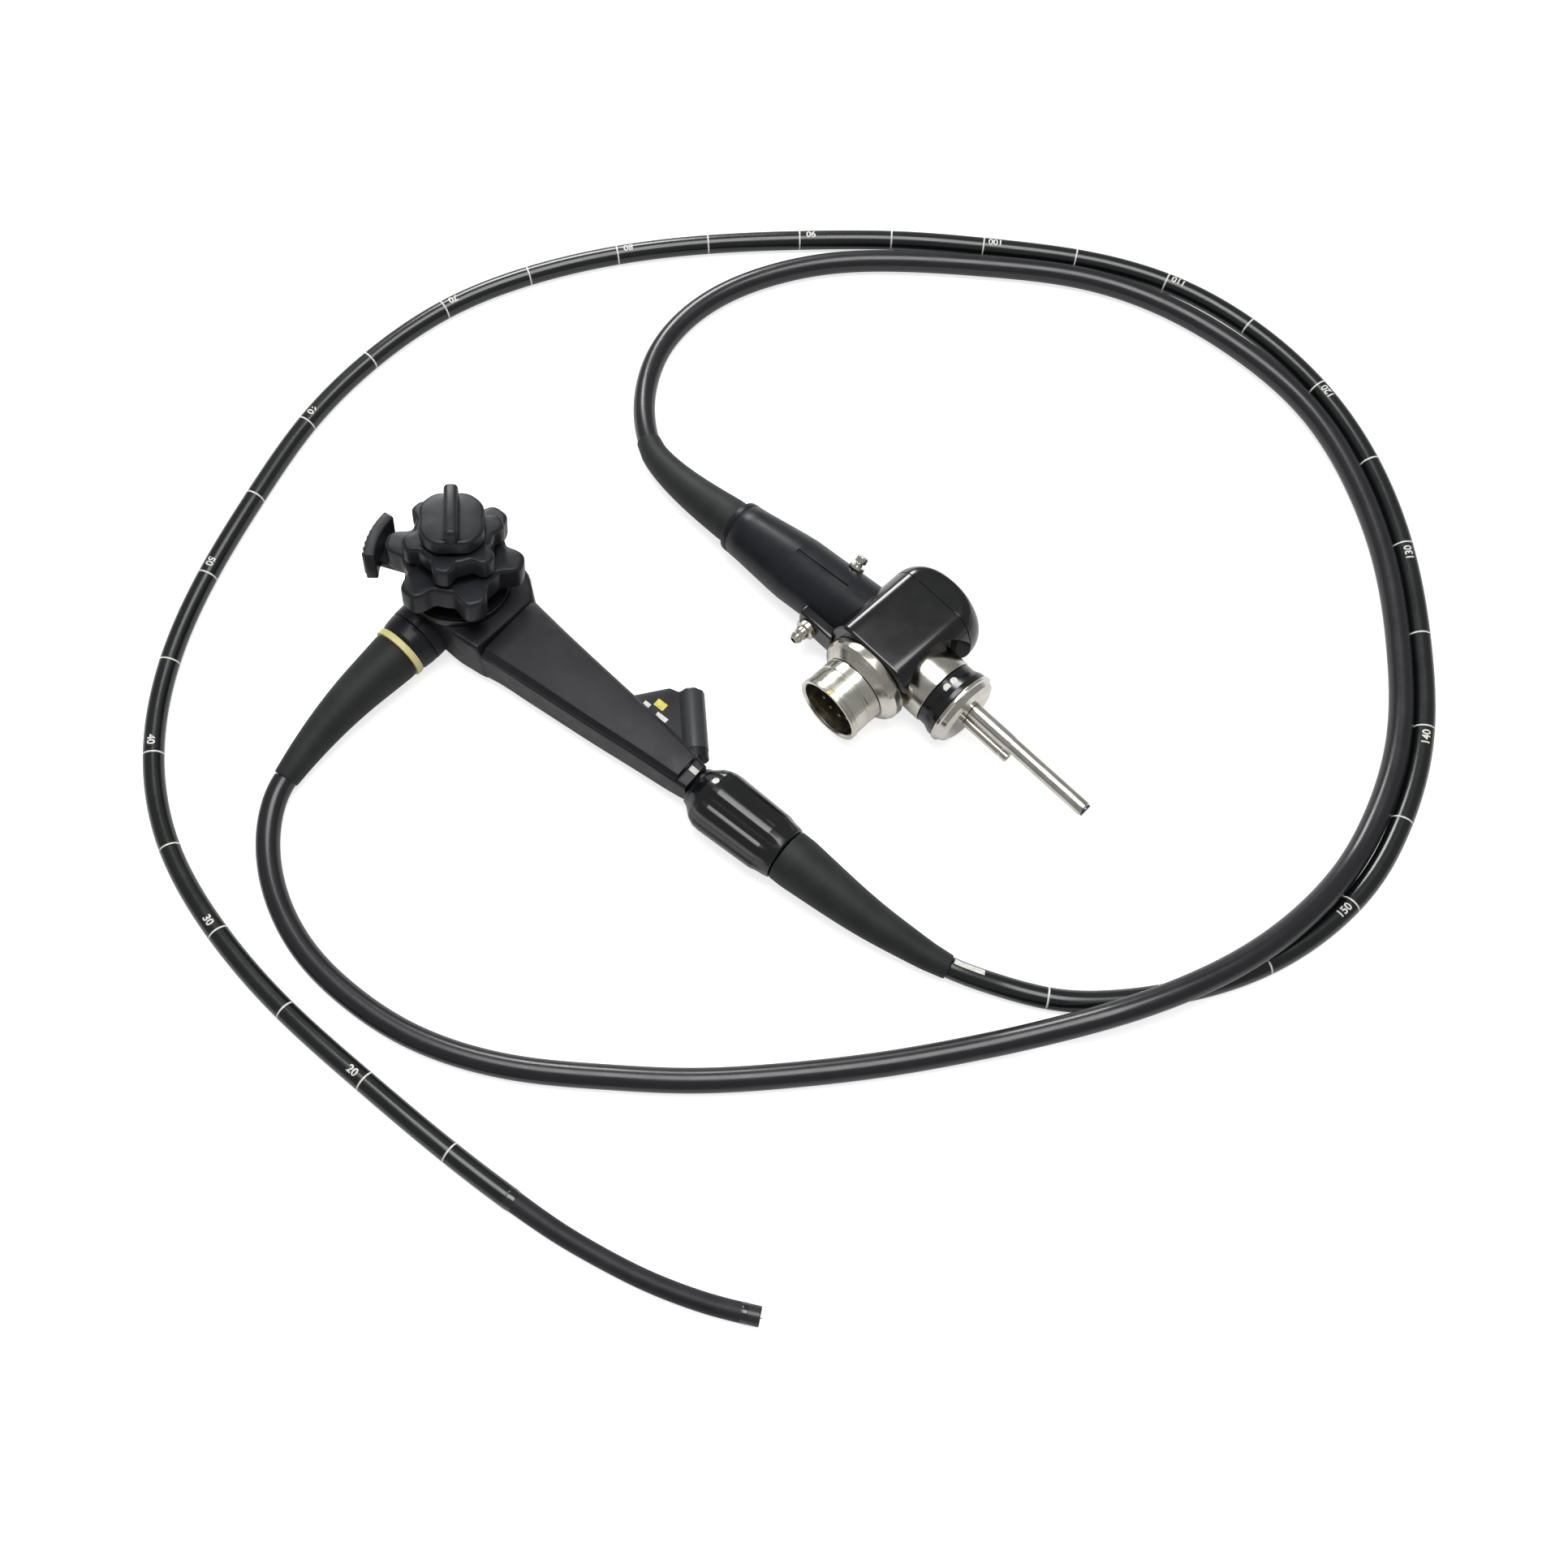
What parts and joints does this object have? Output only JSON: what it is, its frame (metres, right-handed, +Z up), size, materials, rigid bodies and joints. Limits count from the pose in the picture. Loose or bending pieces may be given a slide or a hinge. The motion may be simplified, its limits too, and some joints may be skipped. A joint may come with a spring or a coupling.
{
  "type": "flexible endoscope",
  "caption": "Flexible endoscope: control section with stacked steering knobs and brakes, insertion tube with bending tip, universal cord and light guide connector.",
  "frame": {"origin": "on the flat underside of the control section, below the steering shaft, on the table", "axes": "+X from the head along the grip, +Z up from the table, +Y the side of the head with the valve cylinders"},
  "size_m": [0.5675, 0.5976, 0.0919],
  "materials": {
    "bend_rubber": "matt",
    "black_body": "satin",
    "black_gloss": "gloss",
    "cord_grey": "semi-gloss",
    "dark_insert": "matt",
    "knob_grey": "satin",
    "nickel": "polished nickel plate",
    "optic_glass": "polished",
    "ring_yellow": "satin",
    "soft_rubber": "matt",
    "tube_black": "gloss"
  },
  "bodies": {
    "endoscope_body": {"air_pipe": "nickel", "air_water_cylinder": "nickel", "bend_base": "bend_rubber", "channel_inlet": "nickel", "connector_body": "black_gloss", "connector_boot": "soft_rubber", "connector_cap": "black_gloss", "connector_sleeve": "black_body", "contact_insert": "dark_insert", "control_body": "black_body", "cord_boot": "soft_rubber", "cord_collar": "black_gloss", "grip_cover": "black_body", "identification_ring": "ring_yellow", "insertion_boot": "soft_rubber", "insertion_tube": "tube_black", "light_guide_band": "black_gloss", "light_guide_flange": "nickel", "light_guide_neck": "nickel", "light_guide_rod": "nickel", "light_guide_window": "optic_glass", "low_spacer": "black_gloss", "mid_spacer": "black_gloss", "ring_core": "black_gloss", "socket_collar": "nickel", "socket_shell": "nickel", "steering_shaft": "black_gloss", "suction_cylinder": "nickel", "suction_nipple": "nickel", "top_spacer": "black_gloss", "universal_cord": "cord_grey", "vent_nipple": "nickel"},
    "ud_knob_body": {"ud_knob": "knob_grey"},
    "lr_knob_body": {"lr_knob": "knob_grey"},
    "ud_brake_lever_body": {"ud_brake_lever": "knob_grey"},
    "lr_brake_knob_body": {"lr_brake_knob": "knob_grey"},
    "stiffness_ring_body": {"stiffness_ring": "black_gloss"},
    "remote_switch_1_body": {"remote_switch_1": "soft_rubber"},
    "remote_switch_2_body": {"remote_switch_2": "soft_rubber"},
    "remote_switch_3_body": {"remote_switch_3": "soft_rubber"},
    "remote_switch_4_body": {"remote_switch_4": "soft_rubber"},
    "bend_link_1_body": {"bend_link_1": "bend_rubber"},
    "bend_link_2_body": {"bend_link_2": "bend_rubber"},
    "bend_link_3_body": {"bend_link_3": "bend_rubber"},
    "bend_link_4_body": {"bend_link_4": "bend_rubber"},
    "bend_link_5_body": {"bend_link_5": "bend_rubber"},
    "bend_link_6_body": {"bend_link_6": "bend_rubber"},
    "bend_link_7_body": {"bend_link_7": "bend_rubber"},
    "bend_link_8_body": {"bend_link_8": "bend_rubber"},
    "bend_link_9_body": {"bend_link_9": "bend_rubber"},
    "distal_body": {"distal_tip": "black_gloss", "objective_lens": "optic_glass", "light_lens_1": "optic_glass", "light_lens_2": "optic_glass", "air_water_nozzle": "nickel"}
  },
  "joints": [
    {"name": "ud_knob_turn", "type": "hinge", "parent": "endoscope_body", "child": "ud_knob_body", "pos_m": [0.0003, -0.0056, 0.034], "axis": [0, 0.1478, 0.989], "range_deg": [-180, 180]},
    {"name": "lr_knob_turn", "type": "hinge", "parent": "endoscope_body", "child": "lr_knob_body", "pos_m": [0.0003, -0.0056, 0.034], "axis": [0, 0.1478, 0.989], "range_deg": [-160, 160]},
    {"name": "ud_brake_turn", "type": "hinge", "parent": "endoscope_body", "child": "ud_brake_lever_body", "pos_m": [0.0003, -0.0056, 0.034], "axis": [0, 0.1478, 0.989], "range_deg": [0, 55]},
    {"name": "lr_brake_turn", "type": "hinge", "parent": "endoscope_body", "child": "lr_brake_knob_body", "pos_m": [0.0003, -0.0056, 0.034], "axis": [0, 0.1478, 0.989], "range_deg": [0, 90]},
    {"name": "stiffness_turn", "type": "hinge", "parent": "endoscope_body", "child": "stiffness_ring_body", "pos_m": [0.177, -0.0072, 0.017], "axis": [1, 0, 0], "range_deg": [0, 150]},
    {"name": "remote_switch_1_press", "type": "slide", "parent": "endoscope_body", "child": "remote_switch_1_body", "axis": [1, 0, 0], "range_m": [0, 0.0012], "stiffness_N_per_m": 600, "springref_m": -0.0006},
    {"name": "remote_switch_2_press", "type": "slide", "parent": "endoscope_body", "child": "remote_switch_2_body", "axis": [1, 0, 0], "range_m": [0, 0.0012], "stiffness_N_per_m": 600, "springref_m": -0.0006},
    {"name": "remote_switch_3_press", "type": "slide", "parent": "endoscope_body", "child": "remote_switch_3_body", "axis": [0, -1, 0], "range_m": [0, 0.0012], "stiffness_N_per_m": 600, "springref_m": -0.0006},
    {"name": "remote_switch_4_press", "type": "slide", "parent": "endoscope_body", "child": "remote_switch_4_body", "axis": [0, -1, 0], "range_m": [0, 0.0012], "stiffness_N_per_m": 600, "springref_m": -0.0006},
    {"name": "bend_1_ud", "type": "hinge", "parent": "endoscope_body", "child": "bend_link_1_body", "pos_m": [0.21412, -0.19898, 0.0051], "axis": [0.0782, -0.7028, 0.7071], "range_deg": [-36.5, 36.5]},
    {"name": "bend_2_lr", "type": "hinge", "parent": "bend_link_1_body", "child": "bend_link_2_body", "pos_m": [0.22505, -0.19777, 0.0051], "axis": [0.0995, -0.7001, -0.7071], "range_deg": [-32.5, 32.5]},
    {"name": "bend_3_ud", "type": "hinge", "parent": "bend_link_2_body", "child": "bend_link_3_body", "pos_m": [0.23594, -0.19622, 0.0051], "axis": [0.1305, -0.695, 0.7071], "range_deg": [-36.5, 36.5]},
    {"name": "bend_4_lr", "type": "hinge", "parent": "bend_link_3_body", "child": "bend_link_4_body", "pos_m": [0.24675, -0.19419, 0.0051], "axis": [0.1522, -0.6905, -0.7071], "range_deg": [-32.5, 32.5]},
    {"name": "bend_5_ud", "type": "hinge", "parent": "bend_link_4_body", "child": "bend_link_5_body", "pos_m": [0.25749, -0.19182, 0.0051], "axis": [0.17, -0.6864, 0.7071], "range_deg": [-36.5, 36.5]},
    {"name": "bend_6_lr", "type": "hinge", "parent": "bend_link_5_body", "child": "bend_link_6_body", "pos_m": [0.26817, -0.18918, 0.0051], "axis": [0.2006, -0.6781, -0.7071], "range_deg": [-32.5, 32.5]},
    {"name": "bend_7_ud", "type": "hinge", "parent": "bend_link_6_body", "child": "bend_link_7_body", "pos_m": [0.27871, -0.18606, 0.0051], "axis": [0.2358, -0.6666, 0.7071], "range_deg": [-36.5, 36.5]},
    {"name": "bend_8_lr", "type": "hinge", "parent": "bend_link_7_body", "child": "bend_link_8_body", "pos_m": [0.28908, -0.18239, 0.0051], "axis": [0.2653, -0.6555, -0.7071], "range_deg": [-32.5, 32.5]},
    {"name": "bend_9_ud", "type": "hinge", "parent": "bend_link_8_body", "child": "bend_link_9_body", "pos_m": [0.29928, -0.17827, 0.0051], "axis": [0.3021, -0.6393, 0.7071], "range_deg": [-36.5, 36.5]},
    {"name": "bend_10_lr", "type": "hinge", "parent": "bend_link_9_body", "child": "distal_body", "pos_m": [0.30923, -0.17357, 0.0051], "axis": [0.3278, -0.6265, -0.7071], "range_deg": [-32.5, 32.5]}
  ],
  "couplings": [
    {"joint": "bend_1_ud", "follows": "ud_knob_turn", "ratio": 0.2},
    {"joint": "bend_2_lr", "follows": "lr_knob_turn", "ratio": 0.2},
    {"joint": "bend_3_ud", "follows": "ud_knob_turn", "ratio": 0.2},
    {"joint": "bend_4_lr", "follows": "lr_knob_turn", "ratio": 0.2},
    {"joint": "bend_5_ud", "follows": "ud_knob_turn", "ratio": 0.2},
    {"joint": "bend_6_lr", "follows": "lr_knob_turn", "ratio": 0.2},
    {"joint": "bend_7_ud", "follows": "ud_knob_turn", "ratio": 0.2},
    {"joint": "bend_8_lr", "follows": "lr_knob_turn", "ratio": 0.2},
    {"joint": "bend_9_ud", "follows": "ud_knob_turn", "ratio": 0.2},
    {"joint": "bend_10_lr", "follows": "lr_knob_turn", "ratio": 0.2}
  ]
}
